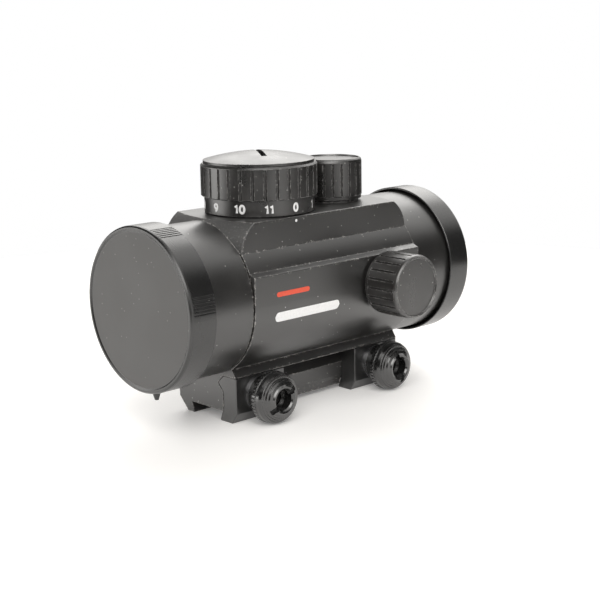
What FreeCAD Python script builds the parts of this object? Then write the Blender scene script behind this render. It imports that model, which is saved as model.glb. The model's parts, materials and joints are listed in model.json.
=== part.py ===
import FreeCAD, Part
import os

# A 1x30 red dot sight with a clamp for an 11 mm dovetail rail.
# Frame: origin at the middle of the rail seat, +X towards the objective, +Z up.
# The sight's user looks along +X, so the windage turret and the clamp nuts are on -Y, the user's right.

V = FreeCAD.Vector

# Used throughout
FIT = 0.05                  # running clearance on a radius
EDGE = 0.4                  # small chamfer on turned ends
FAR = 60.0                  # cutters and slabs reach this far, well past the part

# Tube and housing
AXIS_Z = 27.7               # optical axis above the rail seat
TUBE_R = 19.05              # 38.1 mm tube for a 30 mm lens
TUBE_HALF = 47.1
BORE_R = 17.6
HOUSING_HALF = 28.8         # half length of the cast housing and of the base
SKIN_R = 19.35              # casting round the tube, below the turret block
SKIN_TOP = 40.3             # it ends inside the block's walls
PARTING_W = 0.25            # parting groove round the tube at each end of the casting
PARTING_D = 0.3
PANEL_TOP = 7.3             # side panel's top edge above the axis
LEDGE_IN = 2.2              # the ledge above the panel slopes in and up by these
LEDGE_UP = 0.95
LEDGE_EDGE = 0.25           # radius on the ledge's outer edge
BLOCK_HALF = 14.76          # half width of the turret block
BLOCK_TOP = 47.25
BLOCK_EDGE = 0.35           # radius on the block's top edges
END_CENTRE = 6.1            # the block's ends are turned about uprights at this X
END_TOP_R = 33.7
END_MID_R = 36.0
END_LOW_R = 37.7
END_MID_Z = 45.1
END_LOW_Z = 40.0
BLOCK_FLOOR = 36.0

# Base and rail channel
BASE_BOTTOM = -2.65
NECK_TOP = 15.7             # the base's neck ends here, inside the casting
CHANNEL_TOP_Y = 5.75        # half width at the seat
CHANNEL_LOW_Y = 4.9         # half width at the lip
SHOULDER_Y = 9.9
SHOULDER_Z = 11.4
SHOULDER_LOW_Y = 11.3
SHOULDER_LOW_Z = 9.2
BASE_LEFT_LOW_Y = 10.6
BASE_LEFT_LOW_Z = 0.7
LIP_OUT_Y = 7.4
BASE_RIGHT_Y = -6.55        # wall that the jaws close on
CORNER_Y = -6.08            # the wall's lower corner is cut back, parallel to the jaw's hook
CORNER_Z = 1.17
SKIRT_OUT_Y = -6.2          # thin skirt between the two jaws, set back below the wall's corner
SKIRT_IN_Y = -5.85
SKIRT_HALF = 12.4
SKIRT_TOP = 0.5
SKIRT_Z = -1.35
SEAM = 0.12                 # gap between jaw and base

# Clamp
JAW_IN_X = 12.7
JAW_OUT_X = 28.7
CLAMP_X = 20.8
CLAMP_Z = 3.85
JAW_FACE_Y = -11.4
JAW_TOP_Z = 8.95
JAW_FOOT_Z = -2.6
JAW_FOOT_Y = -9.8
JAW_HOOK_Y = -5.5
JAW_EDGE = 0.2              # radius on the jaw's outer edges
BEAD_TOP_Y = -6.75          # bead along the jaw's top, pointing into the base's groove
BEAD_TIP_Y = -4.82
BEAD_TIP_Z = 7.0
BEAD_TIP_W = 0.13           # the tip is blunted by this much
BEAD_DROP = 4.1             # from the jaw's top to the bead's foot
GROOVE_TOP_Y = -6.72
GROOVE_TIP_Y = -4.62
STUD_R = 1.95
STUD_IN_Y = 6.0
STUD_OUT_Y = -16.8
JAW_HOLE_R = 2.3
WASHER_R = 4.6
WASHER_T = 0.9
NUT_R = 6.48
NUT_BACK_Y = -12.4          # the nut's shank starts here
NUT_SHANK_R = 4.9
NUT_RIM_Y = -15.3           # back of the toothed rim
NUT_RIM_T = 1.0
NUT_FACE_Y = -20.4
NUT_TEETH = 44
NUT_DOME = (                # turned rings: how far in from the rim's edge, and out from its back
    (0.30, 1.15), (0.10, 1.40), (0.15, 2.30), (0.50, 3.10), (0.75, 3.15), (0.85, 3.55),
    (1.20, 3.60), (1.35, 4.00), (1.80, 4.10), (2.00, 4.50), (2.70, 4.70))
NUT_LIP_R = 3.4
NUT_MOUTH_R = 2.6
NUT_MOUTH_END_Y = -16.9     # bottom of the mouth, where the stud's thread starts
NUT_SLOT_L = 9.4
NUT_SLOT_W = 1.5
NUT_SLOT_D = 1.5
REAR_SLOT_ANGLE = 35.0
FRONT_SLOT_ANGLE = 108.0

# Dial and battery
DIAL_X = -9.55
RING_R = 13.9
RING_IN_R = 12.0
RING_Z0 = 47.35
RIB_R = 14.69
RIB_Z0 = 51.45
DIAL_TOP = 59.55
DIAL_EDGE = 0.45
DIAL_RIBS = 30
RIB_START = 6.0             # degrees
RIB_GROOVE_W = 0.75
RIB_GROOVE_D = 0.45
FLOOR_Z0 = 51.6
FLOOR_Z1 = 52.9
WELL_R = 8.6                # well in the dial's floor, under the cell
WELL_TOP = 54.9
CELL_R = 10.0
CELL_T = 3.2
CELL_Z = 55.2
CELL_FOOT_R = 8.6
CELL_ROOM_R = 10.4
CELL_ROOM_TOP = 58.45
CAP_THREAD_R = 11.7
CAP_SEAT_R = 12.6
CAP_SEAT_D = 0.5
CAP_DISC_R = 14.0
CAP_DISC_Z = 59.6
CAP_DISC_T = 0.7
CAP_SPIGOT_D = 1.05
CAP_DOME = 2.15
COIN_SLOT_L = 15.5
COIN_SLOT_W = 1.4
COIN_SLOT_ANGLE = 58.6
SEAL_IN_R = 11.75
SEAL_OUT_R = 12.45
HUB_R = 11.8
HUB_T = 1.6
POST_R = 3.6
POST_TOP = 53.0
TAP_R = 1.25                # the dial's retaining screw
RETAINER_R = 4.7
RETAINER_T = 1.4
HUB_SCREW_Y = 9.0
HUB_SCREW_R = 1.0
HUB_SCREW_HEAD_R = 1.9
HUB_SCREW_LOW = 44.6
BOARD_T = 0.8
PAD_T = 0.06
PAD_R = 0.55
PAD_CIRCLE_R = 7.6
PADS = 12
WIPER_IN_R = 6.4
WIPER_OUT_R = 9.0
SHEET_T = 0.3
WIPER_LIFT = 0.08           # the wiper's fingers clear the pads by this
CONTACT_IN_R = 7.0
CONTACT_OUT_R = 10.2
CONTACT_T = 0.2
NUB_W = 1.2
NUB_R = 7.8

# Turrets: h is the distance from the optical axis
TURRET_X = 15.8
TOP_SEAT = BLOCK_TOP - AXIS_Z
SIDE_SEAT = SKIN_R
SPIGOT_R = 3.4
SPIGOT_H = BORE_R + 0.1
COLLAR_R = 7.2
COLLAR_T = 0.5
COLLAR_FLOOR = 2.6
COLLAR_ROOM_R = 4.9
THREAD_R = 6.3
THREAD_TOP = 6.5
TURRET_CAP_R = 8.18
TURRET_CAP_LOW = 0.6
TURRET_CAP_TOP = 11.3
TURRET_CAP_SKIRT = 0.9      # plain band below the flutes
TURRET_CAP_STEP = 0.15
TURRET_CAP_EDGE = (         # rounded end: how far in from the flutes, and down from the top
    (0.0, 0.9), (0.15, 0.35), (0.5, 0.0), (0.75, 0.0))
TURRET_CAP_RIM = 0.95       # width of the rim and its inner slope
TURRET_CAP_FLUTE_END = 1.1  # the flutes stop this far below the top
TURRET_CAP_DISH = 0.4
TURRET_CAP_ROOF = 1.8
TURRET_RIBS = 22
FLUTE_W = 0.55
FLUTE_D = 0.4
TURRET_SEAL_R = 6.5
TURRET_SEAL_T = 0.5
SCREW_R = 1.7
SCREW_HEAD_R = 4.6
SCREW_HEAD_LOW = 2.7
SCREW_HEAD_TOP = 5.2
SCREW_SLOT_W = 1.1
SCREW_MARKS = 20
PLUNGER_TIP_R = 0.9
PLUNGER_CONE = 0.8
TOUCH = 0.08                # plungers and spring stop this short of the inner tube

# Optics inside the tube
INNER_R = 16.0
INNER_BORE_R = 14.6
INNER_X0 = -36.9
INNER_X1 = 38.0
LENS_R = 15.0
LENS_X = 33.2
LENS_T = 3.0
LENS_CURVE_R = 90.0
LENS_SAG = 1.3              # how far the lens's hollow back reaches behind its middle
LENS_RING_R = 13.9
LENS_RING_X = 35.16
WINDOW_X0 = -43.6
WINDOW_X1 = -41.6
BEZEL_END = 47.0
BEZEL_BEVEL = 0.6
BEZEL_LAND_R = 16.6
REAR_BEZEL_R = 14.7
REAR_MOUTH_R = 15.4
REAR_CONE_X = -44.6
FRONT_BEZEL_R = 15.2
FRONT_BEZEL_X = 41.5
FRONT_MOUTH_R = 15.7
SEAT_R = 15.2
SEAT_X1 = -37.45
PIVOT_X = -36.0
PIVOT_HALF = 1.2
PIVOT_BALL_R = 17.4
PIVOT_HOLE_R = 16.15
PIVOT_LAND_R = 16.1
INNER_LAND_HALF = 0.6
SPRING_HALF = 9.0
SPRING_T = 0.3
SPRING_W = 5.0
SPRING_WALL = 17.35
SPRING_ANGLE = 45.0
LED_X = -25.5
LED_Z = AXIS_Z - 12.9
LED_R = 0.95
LED_L = 1.6
LED_HOLE_R = 1.0
LED_BLOCK = (6.0, 4.4, 4.0)
LED_BLOCK_X = -30.0
LED_BLOCK_Z = AXIS_Z - 15.4

# Lens caps
CAP_END = 48.74
CAP_R = 20.2
CAP_BORE_R = 19.13
CAP_SKIRT_END = 41.26
CAP_DISH = 0.25             # the face is set back inside a narrow rim
CAP_FACE_R = 18.9
CAP_RIM_R = 19.3
CAP_RIM_ROUND = 0.8
CAP_MOUTH_R = 19.75         # the skirt opens out at its mouth
CAP_MOUTH_DEEP = 2.0
CAP_MOUTH_CONE = 0.6
CAP_LIP_EDGE = 0.15
CAP_SLACK = 0.04
GRIP_GROUPS = (10.0, 70.0, 110.0, 170.0)   # degrees up from -Y
GRIP_GROOVES = 6
GRIP_PITCH = 2.25
GRIP_W = 0.3
GRIP_D = 0.22
NIB_X = -44.2
NIB_TOP_R = 1.35
NIB_TIP_R = 0.5
NIB_L = 2.9
NIB_SUNK = 0.3


def face_from(points):
    """Closed flat face through the points."""
    return Part.Face(Part.makePolygon([V(*p) for p in points] + [V(*points[0])]))


def prism_x(outline, x0, x1):
    """Extrude a (y, z) outline along X."""
    return face_from([(x0, y, z) for y, z in outline]).extrude(V(x1 - x0, 0, 0))


def turned(profile):
    """Revolve an (r, h) profile about +Z."""
    return face_from([(r, 0, h) for r, h in profile]).revolve(V(0, 0, 0), V(0, 0, 1), 360)


def ring(r_in, r_out, h0, h1):
    return turned([(r_in, h0), (r_out, h0), (r_out, h1), (r_in, h1)])


def rod(r, h0, h1):
    return Part.makeCylinder(r, h1 - h0, V(0, 0, h0))


def box(x_size, y_size, z0, z1):
    """Box centred on the Z axis."""
    return Part.makeBox(x_size, y_size, z1 - z0, V(-x_size / 2, -y_size / 2, z0))


def segments(points):
    """Straight edges through (r, h) points in the XZ plane."""
    ends = [V(r, 0, h) for r, h in points]
    return [Part.LineSegment(a, b).toShape() for a, b in zip(ends, ends[1:])]


def along_x(shape, sign=1):
    """Turn a shape made about +Z so that it lies on the optical axis, facing +X or -X."""
    out = shape.copy()
    out.rotate(V(0, 0, 0), V(0, 1, 0), 90 * sign)
    out.translate(V(0, 0, AXIS_Z))
    return out


def up_at(shape, x, y=0.0, z=0.0):
    out = shape.copy()
    out.translate(V(x, y, z))
    return out


def right_at(shape, x, z):
    """Turn a shape made about +Z so that it points along -Y."""
    out = shape.copy()
    out.rotate(V(0, 0, 0), V(1, 0, 0), 90)
    out.translate(V(x, 0, z))
    return out


def on_top(shape):
    """Place a turret piece, made by its distance from the axis, on the top seat."""
    return up_at(shape, TURRET_X, 0, AXIS_Z)


def on_side(shape):
    return right_at(shape, TURRET_X, AXIS_Z)


def around(shape, count, start=0.0, step=None):
    """Copies of a shape about +Z, as one compound."""
    step = 360.0 / count if step is None else step
    copies = []
    for i in range(count):
        one = shape.copy()
        one.rotate(V(0, 0, 0), V(0, 0, 1), start + i * step)
        copies.append(one)
    return Part.makeCompound(copies)


def groove_cutter(r, depth, width, h0, h1):
    """A round-bottomed groove on a radius, parallel to the axis."""
    slot = Part.makeBox(depth + width, width, h1 - h0, V(r - depth + width / 2, -width / 2, h0))
    return slot.fuse(up_at(rod(width / 2, h0, h1), r - depth + width / 2))


# ---------------------------------------------------------------- housing

def turret_block():
    """Raised block on the tube's top, with curved and bevelled ends."""
    curve = Part.Arc(V(END_LOW_R, 0, END_LOW_Z), V(END_MID_R, 0, END_MID_Z), V(END_TOP_R, 0, BLOCK_TOP))
    edges = segments([(0, BLOCK_FLOOR), (END_LOW_R, BLOCK_FLOOR), (END_LOW_R, END_LOW_Z)])
    edges.append(curve.toShape())
    edges += segments([(END_TOP_R, BLOCK_TOP), (0, BLOCK_TOP), (0, BLOCK_FLOOR)])
    turned_end = Part.Face(Part.Wire(edges)).revolve(V(0, 0, 0), V(0, 0, 1), 360)
    block = up_at(turned_end, END_CENTRE).common(up_at(turned_end, -END_CENTRE))
    block = block.common(box(2 * FAR, 2 * BLOCK_HALF, BLOCK_FLOOR, BLOCK_TOP + EDGE))
    rounded = []
    for edge in block.Edges:
        bounds = edge.BoundBox
        along_side = abs(abs(bounds.Center.y) - BLOCK_HALF) < FIT
        if bounds.ZMin > END_LOW_Z - BLOCK_EDGE and along_side:
            rounded.append(edge)
    return block.makeFillet(BLOCK_EDGE, rounded)


def side_panels():
    """Flat panels on both sides, each with a sloping ledge along its top."""
    top = AXIS_Z + PANEL_TOP
    outline = [(-SKIN_R, AXIS_Z), (-SKIN_R, top), (LEDGE_IN - SKIN_R, top + LEDGE_UP)]
    outline += [(SKIN_R - LEDGE_IN, top + LEDGE_UP), (SKIN_R, top), (SKIN_R, AXIS_Z)]
    panels = prism_x(outline, -HOUSING_HALF, HOUSING_HALF)
    corners = []
    for edge in panels.Edges:
        middle = edge.BoundBox.Center
        if abs(middle.x) < FIT and abs(middle.z - top) < FIT:
            corners.append(edge)
    return panels.makeFillet(LEDGE_EDGE, corners)


def base_outline():
    """Section of the base with its rail channel and the groove for the jaws' beads."""
    foot = JAW_TOP_Z - BEAD_DROP
    right = [(CORNER_Y, 0.0), (BASE_RIGHT_Y, CORNER_Z), (BASE_RIGHT_Y, foot - SEAM)]
    right += [(BASE_RIGHT_Y + SEAM, foot), (GROOVE_TIP_Y, BEAD_TIP_Z), (GROOVE_TOP_Y, JAW_TOP_Z + SEAM)]
    right += [(-SHOULDER_LOW_Y, JAW_TOP_Z + SEAM), (-SHOULDER_LOW_Y, SHOULDER_LOW_Z)]
    right += [(-SHOULDER_Y, SHOULDER_Z), (-SHOULDER_Y, NECK_TOP)]
    left = [(SHOULDER_Y, NECK_TOP), (SHOULDER_Y, SHOULDER_Z), (SHOULDER_LOW_Y - EDGE, SHOULDER_LOW_Z)]
    left += [(BASE_LEFT_LOW_Y, BASE_LEFT_LOW_Z), (LIP_OUT_Y, BASE_BOTTOM), (CHANNEL_LOW_Y, BASE_BOTTOM)]
    left += [(CHANNEL_TOP_Y, 0.0)]
    return right + left


def tube_shell():
    """Solid of the tube's outside, with a parting groove at each end of the casting."""
    deep = TUBE_R - PARTING_D
    quarter = [(TUBE_R - EDGE, TUBE_HALF), (TUBE_R, TUBE_HALF - EDGE), (TUBE_R, HOUSING_HALF + PARTING_W)]
    quarter += [(deep, HOUSING_HALF + PARTING_W), (deep, HOUSING_HALF), (TUBE_R, HOUSING_HALF)]
    other = [(r, -h) for r, h in reversed(quarter)]
    return along_x(turned([(0, TUBE_HALF)] + quarter + other + [(0, -TUBE_HALF)]))


def main_body():
    """Tube, turret block, side panels and rail base as one casting."""
    skin = along_x(rod(SKIN_R, -HOUSING_HALF, HOUSING_HALF)).common(box(2 * FAR, FAR, 0, SKIN_TOP))
    body = tube_shell().fuse(skin).fuse(side_panels()).fuse(turret_block())
    body = body.fuse(prism_x(base_outline(), -HOUSING_HALF, HOUSING_HALF))
    skirt = [(SKIRT_OUT_Y, SKIRT_TOP), (SKIRT_IN_Y, SKIRT_TOP), (SKIRT_IN_Y, SKIRT_Z), (SKIRT_OUT_Y, SKIRT_Z)]
    body = body.fuse(prism_x(skirt, -SKIRT_HALF, SKIRT_HALF))
    body = body.cut(along_x(rod(BORE_R, -FAR, FAR)))
    for x in (-CLAMP_X, CLAMP_X):
        body = body.cut(right_at(rod(STUD_R, -STUD_IN_Y, FAR), x, CLAMP_Z))
    for y in (-HUB_SCREW_Y, HUB_SCREW_Y):
        body = body.cut(up_at(rod(HUB_SCREW_R, HUB_SCREW_LOW, FAR), DIAL_X, y))
    spigot_hole = rod(SPIGOT_R, INNER_R, FAR)
    return body.cut(on_top(spigot_hole)).cut(on_side(spigot_hole)).removeSplitter()


def rear_bezel():
    wall = BORE_R - FIT
    profile = [(REAR_MOUTH_R, -BEZEL_END), (BEZEL_LAND_R, -BEZEL_END), (wall, BEZEL_BEVEL - BEZEL_END)]
    profile += [(wall, WINDOW_X0), (REAR_BEZEL_R, WINDOW_X0), (REAR_BEZEL_R, REAR_CONE_X)]
    return along_x(turned(profile))


def front_bezel():
    wall = BORE_R - FIT
    profile = [(FRONT_BEZEL_R, FRONT_BEZEL_X), (wall, FRONT_BEZEL_X), (wall, BEZEL_END - BEZEL_BEVEL)]
    profile += [(BEZEL_LAND_R, BEZEL_END), (FRONT_MOUTH_R, BEZEL_END)]
    profile += [(FRONT_BEZEL_R, BEZEL_END + FRONT_BEZEL_R - FRONT_MOUTH_R)]
    return along_x(turned(profile))


def pivot_seat():
    """Ring in the bore that the rear window and the inner tube's pivot ring are set against."""
    return along_x(ring(SEAT_R, BORE_R - FIT, WINDOW_X1, SEAT_X1))


def bias_spring():
    """Leaf spring between the bore and the inner tube, opposite both adjusting screws."""
    touch = INNER_R + TOUCH
    foot = SPRING_T - SPRING_WALL
    outer = Part.Arc(V(-SPRING_HALF, 0, -SPRING_WALL), V(0, 0, -touch - SPRING_T), V(SPRING_HALF, 0, -SPRING_WALL))
    inner = Part.Arc(V(SPRING_HALF, 0, foot), V(0, 0, -touch), V(-SPRING_HALF, 0, foot))
    edges = [outer.toShape()] + segments([(SPRING_HALF, -SPRING_WALL), (SPRING_HALF, foot)])
    edges += [inner.toShape()] + segments([(-SPRING_HALF, foot), (-SPRING_HALF, -SPRING_WALL)])
    leaf = Part.Face(Part.Wire(edges)).extrude(V(0, SPRING_W, 0))
    leaf.translate(V(0, -SPRING_W / 2, 0))
    leaf.rotate(V(0, 0, 0), V(1, 0, 0), SPRING_ANGLE)
    return on_top(leaf)


# ---------------------------------------------------------------- turrets

def turret_collar(seat):
    """Threaded collar that the cap screws onto; the adjusting screw turns inside it."""
    hole = SCREW_R + FIT
    floor = seat + COLLAR_FLOOR
    top = seat + THREAD_TOP
    profile = [(hole, SPIGOT_H), (SPIGOT_R, SPIGOT_H), (SPIGOT_R, seat), (COLLAR_R, seat)]
    profile += [(COLLAR_R, seat + COLLAR_T), (THREAD_R, seat + COLLAR_T), (THREAD_R, top - EDGE)]
    profile += [(THREAD_R - EDGE, top), (COLLAR_ROOM_R, top), (COLLAR_ROOM_R, floor), (hole, floor)]
    return turned(profile)


def turret_screw(seat):
    """Coin-slotted adjusting screw with a milled head."""
    top = seat + SCREW_HEAD_TOP
    low = seat + SCREW_HEAD_LOW
    head = [(0, low), (SCREW_HEAD_R, low), (SCREW_HEAD_R, top - EDGE), (SCREW_HEAD_R - EDGE, top), (0, top)]
    screw = turned(head).fuse(rod(SCREW_R, seat + COLLAR_T, low + EDGE))
    slot = box(2 * COLLAR_ROOM_R, SCREW_SLOT_W, top - SCREW_SLOT_W, top + EDGE)
    marks = around(groove_cutter(SCREW_HEAD_R, 0.25, 0.3, low, top), SCREW_MARKS)
    return screw.cut(slot).cut(marks)


def turret_plunger(seat):
    """Pin that the screw pushes against the inner tube."""
    tip = INNER_R + TOUCH
    top = seat + COLLAR_T - 0.6
    return turned([(0, tip), (PLUNGER_TIP_R, tip), (SCREW_R, tip + PLUNGER_CONE), (SCREW_R, top), (0, top)])


def turret_cap(seat):
    """Fluted screw cap with a raised rim round its flat end."""
    low, top = seat + TURRET_CAP_LOW, seat + TURRET_CAP_TOP
    r = TURRET_CAP_R
    band = low + TURRET_CAP_SKIRT
    flutes = band + TURRET_CAP_STEP
    roof = top - TURRET_CAP_ROOF
    seal_room = TURRET_SEAL_R + TURRET_SEAL_T + FIT
    seal_top = low + TURRET_SEAL_T + 0.1
    profile = [(seal_room, low), (r - TURRET_CAP_STEP - 0.2, low), (r - TURRET_CAP_STEP, low + 0.2)]
    profile += [(r - TURRET_CAP_STEP, band), (r, flutes)]
    profile += [(r - inward, top - down) for inward, down in TURRET_CAP_EDGE]
    profile += [(r - TURRET_CAP_RIM, top - TURRET_CAP_DISH), (0, top - TURRET_CAP_DISH)]
    profile += [(0, roof), (THREAD_R + FIT, roof), (THREAD_R + FIT, seal_top), (seal_room, seal_top)]
    cutter = groove_cutter(r, FLUTE_D, FLUTE_W, flutes, top - TURRET_CAP_FLUTE_END)
    return turned(profile).cut(around(cutter, TURRET_RIBS))


def turret_seal(seat):
    low = seat + TURRET_CAP_LOW + FIT
    return ring(TURRET_SEAL_R, TURRET_SEAL_R + TURRET_SEAL_T, low, low + TURRET_SEAL_T)


# ---------------------------------------------------------------- dial

def hub_screw_shape():
    top = BLOCK_TOP + HUB_T
    profile = [(0, HUB_SCREW_LOW), (HUB_SCREW_R, HUB_SCREW_LOW), (HUB_SCREW_R, top - 1.0)]
    profile += [(HUB_SCREW_HEAD_R, top - 0.1), (HUB_SCREW_HEAD_R, top), (0, top)]
    return turned(profile)


def dial_hub():
    """Fixed plate and post that the dial turns on."""
    hub = ring(TAP_R, HUB_R, BLOCK_TOP, BLOCK_TOP + HUB_T).fuse(ring(TAP_R, POST_R, BLOCK_TOP, POST_TOP))
    for y in (-HUB_SCREW_Y, HUB_SCREW_Y):
        hub = hub.cut(up_at(hub_screw_shape(), 0, y))
    return up_at(hub, DIAL_X)


def hub_screws():
    """Two countersunk screws that hold the hub down."""
    top = BLOCK_TOP + HUB_T
    low = top - 0.6
    cross = box(2.2, 0.5, low, top + EDGE).fuse(box(0.5, 2.2, low, top + EDGE))
    screw = hub_screw_shape().cut(cross)
    return Part.makeCompound([up_at(screw, DIAL_X, y) for y in (-HUB_SCREW_Y, HUB_SCREW_Y)])


def switch_board():
    """Printed board with its ring of brightness contacts."""
    low = BLOCK_TOP + HUB_T
    top = low + BOARD_T
    board = ring(POST_R + 0.3, HUB_R - 0.6, low, top)
    pads = around(up_at(rod(PAD_R, top, top + PAD_T), PAD_CIRCLE_R), PADS)
    return up_at(board.fuse(pads.Solids), DIAL_X)


def dial_retaining_screw():
    """Flat-headed screw that keeps the dial on its post."""
    top = POST_TOP + RETAINER_T
    head = [(0, POST_TOP), (RETAINER_R, POST_TOP), (RETAINER_R, top - EDGE), (RETAINER_R - EDGE, top), (0, top)]
    screw = turned(head).fuse(rod(TAP_R, BLOCK_TOP + EDGE, POST_TOP + 0.1))
    slot = box(2.2 * RETAINER_R, 0.9, top - 0.7, top + EDGE)
    return up_at(screw.cut(slot), DIAL_X)


def dial_wiper():
    """Sprung contact under the dial's floor that runs over the board."""
    plate = ring(WIPER_IN_R, WIPER_OUT_R, FLOOR_Z0 - SHEET_T, FLOOR_Z0)
    low = BLOCK_TOP + HUB_T + BOARD_T + PAD_T + WIPER_LIFT
    fingers = around(up_at(rod(0.5, low, FLOOR_Z0 - 0.2), 0, -PAD_CIRCLE_R), 2)
    return up_at(plate.fuse(fingers.Solids), DIAL_X)


def dial_knob():
    """Numbered ring and ribbed grip in one piece, hollow for the cell above and the board below."""
    hole = POST_R + FIT
    edge = 0.2
    profile = [(hole, FLOOR_Z0), (RING_IN_R, FLOOR_Z0), (RING_IN_R, RING_Z0), (RING_R - edge, RING_Z0)]
    profile += [(RING_R, RING_Z0 + edge), (RING_R, RIB_Z0), (RIB_R - edge, RIB_Z0), (RIB_R, RIB_Z0 + edge)]
    profile += [(RIB_R, DIAL_TOP - DIAL_EDGE), (RIB_R - DIAL_EDGE, DIAL_TOP), (CAP_SEAT_R, DIAL_TOP)]
    profile += [(CAP_SEAT_R, DIAL_TOP - CAP_SEAT_D), (CAP_THREAD_R, DIAL_TOP - CAP_SEAT_D)]
    profile += [(CAP_THREAD_R, CELL_ROOM_TOP), (CELL_ROOM_R, CELL_ROOM_TOP), (CELL_ROOM_R, WELL_TOP)]
    profile += [(WELL_R, WELL_TOP), (WELL_R, FLOOR_Z1), (hole, FLOOR_Z1)]
    cutter = groove_cutter(RIB_R, RIB_GROOVE_D, RIB_GROOVE_W, RIB_Z0 - EDGE, DIAL_TOP - 0.6)
    return up_at(turned(profile).cut(around(cutter, DIAL_RIBS, RIB_START)), DIAL_X)


def battery():
    """Coin cell with its stepped rim."""
    top = CELL_Z + CELL_T
    edge = 0.3
    profile = [(0, CELL_Z), (CELL_FOOT_R, CELL_Z), (CELL_FOOT_R, CELL_Z + 0.5), (CELL_R - edge, CELL_Z + 0.5)]
    profile += [(CELL_R, CELL_Z + 0.5 + edge), (CELL_R, top - edge), (CELL_R - edge, top), (0, top)]
    return up_at(turned(profile), DIAL_X)


def battery_contact():
    """Spring ring under the cell."""
    top = WELL_TOP + CONTACT_T
    leaf = ring(CONTACT_IN_R, CONTACT_OUT_R, WELL_TOP, top)
    nubs = around(up_at(box(NUB_W, NUB_W, top - 0.02, top + WIPER_LIFT), NUB_R), 3)
    return up_at(leaf.fuse(nubs.Solids), DIAL_X)


def battery_cap():
    """Domed, coin-slotted cap that screws into the dial."""
    rim = CAP_DISC_Z + CAP_DISC_T
    peak = rim + CAP_DOME
    low = CAP_DISC_Z - CAP_SPIGOT_D
    spigot = CAP_THREAD_R - 0.1
    edges = segments([(0, low), (spigot, low), (spigot, CAP_DISC_Z), (CAP_DISC_R - 0.1, CAP_DISC_Z),
                      (CAP_DISC_R, CAP_DISC_Z + 0.1), (CAP_DISC_R, rim)])
    crown = Part.Arc(V(CAP_DISC_R, 0, rim), V(CAP_DISC_R / 2, 0, rim + CAP_DOME * 0.7), V(0, 0, peak))
    edges.append(crown.toShape())
    edges += segments([(0, peak), (0, low)])
    cap = Part.Face(Part.Wire(edges)).revolve(V(0, 0, 0), V(0, 0, 1), 360)
    slot = box(COIN_SLOT_L, COIN_SLOT_W, rim + 0.1, peak + EDGE)
    slot.rotate(V(0, 0, 0), V(0, 0, 1), COIN_SLOT_ANGLE)
    return up_at(cap.cut(slot), DIAL_X)


def battery_cap_seal():
    return up_at(ring(SEAL_IN_R, SEAL_OUT_R, DIAL_TOP - CAP_SEAT_D + FIT, CAP_DISC_Z - FIT / 2), DIAL_X)


# ---------------------------------------------------------------- clamp

def clamp_jaw(x0, x1):
    """Jaw with a bead along its top that rocks in the base's groove and a hook for the rail's flank."""
    wall = BASE_RIGHT_Y - SEAM
    foot = JAW_TOP_Z - BEAD_DROP
    outline = [(JAW_FACE_Y, JAW_TOP_Z), (BEAD_TOP_Y, JAW_TOP_Z), (BEAD_TIP_Y - BEAD_TIP_W, BEAD_TIP_Z + 0.2)]
    outline += [(BEAD_TIP_Y, BEAD_TIP_Z), (BEAD_TIP_Y - BEAD_TIP_W, BEAD_TIP_Z - 0.2), (wall + 0.07, foot)]
    outline += [(wall, foot - 0.2), (wall, CORNER_Z - 0.07), (JAW_HOOK_Y + 0.2, JAW_FOOT_Z + 0.3)]
    outline += [(JAW_HOOK_Y, JAW_FOOT_Z), (JAW_FOOT_Y, JAW_FOOT_Z), (JAW_FACE_Y, 0.0)]
    jaw = prism_x(outline, x0, x1)
    outer = [edge for edge in jaw.Edges if edge.BoundBox.YMax < JAW_FOOT_Y + FIT]
    jaw = jaw.makeFillet(JAW_EDGE, outer)
    return jaw.cut(right_at(rod(JAW_HOLE_R, 0, FAR), (x0 + x1) / 2, CLAMP_Z))


def clamp_studs():
    """Two threaded studs fixed in the base."""
    end = -STUD_OUT_Y
    profile = [(0, -STUD_IN_Y), (STUD_R, -STUD_IN_Y), (STUD_R, end - EDGE), (STUD_R - EDGE, end), (0, end)]
    return Part.makeCompound([right_at(turned(profile), x, CLAMP_Z) for x in (-CLAMP_X, CLAMP_X)])


def clamp_washer(x):
    return right_at(ring(JAW_HOLE_R, WASHER_R, -JAW_FACE_Y, WASHER_T - JAW_FACE_Y), x, CLAMP_Z)


def clamp_nut(x, slot_angle):
    """Domed thumb nut: a shank, a toothed rim, a stepped dome and a coin-slotted mouth."""
    back, rim, face, mouth = -NUT_BACK_Y, -NUT_RIM_Y, -NUT_FACE_Y, -NUT_MOUTH_END_Y
    hole = STUD_R + FIT
    profile = [(hole, back), (NUT_SHANK_R, back), (NUT_SHANK_R, rim), (NUT_R, rim), (NUT_R, rim + NUT_RIM_T)]
    profile += [(NUT_R - inward, rim + out) for inward, out in NUT_DOME]
    profile += [(NUT_LIP_R, face), (NUT_LIP_R - 0.5, face - 0.15), (NUT_MOUTH_R, face - 0.6)]
    profile += [(NUT_MOUTH_R, mouth), (hole, mouth)]
    teeth = around(groove_cutter(NUT_R, 0.25, 0.4, rim - EDGE, rim + NUT_RIM_T + FIT), NUT_TEETH)
    slot = box(NUT_SLOT_L, NUT_SLOT_W, face - NUT_SLOT_D, face + EDGE)
    slot.rotate(V(0, 0, 0), V(0, 0, 1), slot_angle)
    return right_at(turned(profile).cut(teeth).cut(slot), x, CLAMP_Z)


# ---------------------------------------------------------------- optics

def pivot_ring():
    """Ball-edged ring that lets the inner tube nod, while the tube swings inside it."""
    x0, x1 = PIVOT_X - PIVOT_HALF, PIVOT_X + PIVOT_HALF
    ball = Part.makeSphere(PIVOT_BALL_R, V(PIVOT_X, 0, AXIS_Z))
    return along_x(ring(PIVOT_HOLE_R, BORE_R, x0, x1)).common(ball)


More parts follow.
